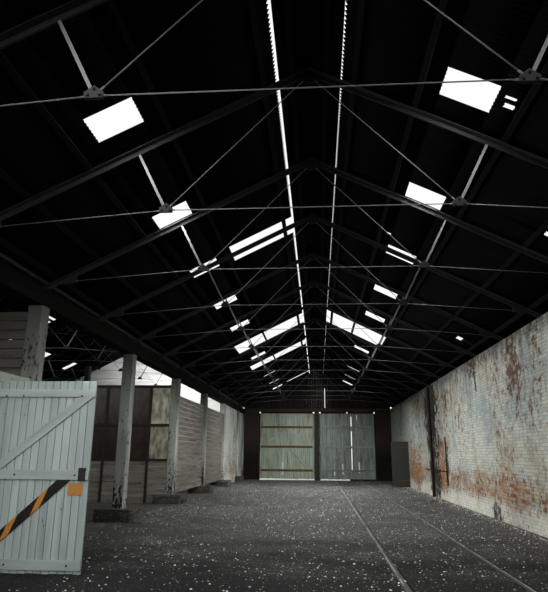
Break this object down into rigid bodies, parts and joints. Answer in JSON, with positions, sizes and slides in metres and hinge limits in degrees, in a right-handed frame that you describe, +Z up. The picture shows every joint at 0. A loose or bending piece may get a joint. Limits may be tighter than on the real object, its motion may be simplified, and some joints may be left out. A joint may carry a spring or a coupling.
{
  "type": "factory building",
  "caption": "Derelict brick factory shed with an iron-tied gabled roof, a parallel side bay behind a timber arcade, boarded doors and open rooflights.",
  "frame": {"origin": "ground level at the centre of the building's outline, on the arcade line", "axes": "+Y along the nave towards the far gable, +X towards the nave's outer wall, +Z up"},
  "size_m": [19.44, 38.28, 6.9119],
  "materials": {
    "concrete": "worn concrete",
    "brick": "painted brick, peeling",
    "roof_iron": "weathered corrugated iron",
    "truss_iron": "old painted iron",
    "rail_steel": "rusted",
    "dark_timber": "dark weathered timber",
    "white_timber": "white paint, peeling",
    "green_timber": "pale green paint, worn",
    "window_glass": "dirty glass"
  },
  "bodies": {
    "building": {"arcade_beam": "dark_timber", "arcade_boarding": "white_timber", "arcade_brick_filling": "brick", "arcade_door_head": "dark_timber", "arcade_door_posts": "dark_timber", "arcade_plinths": "concrete", "arcade_posts": "white_timber", "arcade_screens": "white_timber", "floor_rails": "rail_steel", "hinge_pintles": "rail_steel", "nave_end_centre_posts": "dark_timber", "nave_end_lintels": "dark_timber", "nave_end_piers": "brick", "nave_floor": "concrete", "nave_gables": "dark_timber", "near_end_leaves": "green_timber", "purlins": "dark_timber", "rafters_left_slopes": "truss_iron", "rafters_right_slopes": "truss_iron", "ridge_capping": "roof_iron", "right_wall_at_doorway": "brick", "right_wall_far_part": "brick", "right_wall_near_part": "brick", "roof_sheets_at_eaves": "roof_iron", "roof_sheets_between_rooflights": "roof_iron", "roof_sheets_by_ridge": "roof_iron", "roof_sheets_under_rooflights": "roof_iron", "side_bay_boarded_partition": "white_timber", "side_bay_floor": "concrete", "side_bay_gables": "white_timber", "side_bay_stanchion": "dark_timber", "side_bay_wall": "brick", "truss_cheek_plates": "truss_iron", "truss_struts": "truss_iron", "truss_tie_rods": "truss_iron", "valley_gutter": "roof_iron", "wall_pipes": "rail_steel", "window_partition_glass": "window_glass", "window_partition_panels": "white_timber", "window_partition_posts": "dark_timber", "window_partition_rails": "dark_timber"},
    "far_left_leaf": {"far_left_leaf_boards": "green_timber", "far_left_leaf_braces": "green_timber", "far_left_leaf_rails": "dark_timber", "far_left_leaf_straps": "rail_steel"},
    "far_right_leaf": {"far_right_leaf_boards": "green_timber", "far_right_leaf_braces": "green_timber", "far_right_leaf_rails": "green_timber", "far_right_leaf_straps": "rail_steel"},
    "arcade_leaf": {"arcade_leaf_boards": "white_timber", "arcade_leaf_braces": "white_timber", "arcade_leaf_latch": "rail_steel", "arcade_leaf_ledges": "white_timber", "arcade_leaf_straps": "rail_steel"},
    "side_leaf": {"side_leaf_boards": "dark_timber", "side_leaf_ledges": "dark_timber", "side_leaf_straps": "rail_steel"}
  },
  "joints": [
    {"name": "far_left_leaf_hinge", "type": "hinge", "parent": "building", "child": "far_left_leaf", "pos_m": [1.124, 18.977, 0.17], "axis": [0, 0, 1], "range_deg": [0, 90]},
    {"name": "far_right_leaf_hinge", "type": "hinge", "parent": "building", "child": "far_right_leaf", "pos_m": [8.356, 18.977, 0.17], "axis": [0, 0, -1], "range_deg": [0, 90]},
    {"name": "arcade_leaf_hinge", "type": "hinge", "parent": "building", "child": "arcade_leaf", "pos_m": [0.084, -10.13, 0.15], "axis": [0, 0, 1], "range_deg": [-90, 40]},
    {"name": "side_leaf_hinge", "type": "hinge", "parent": "building", "child": "side_leaf", "pos_m": [9.326, 12.14, 0.14], "axis": [0, 0, 1], "range_deg": [-90, 85]}
  ]
}
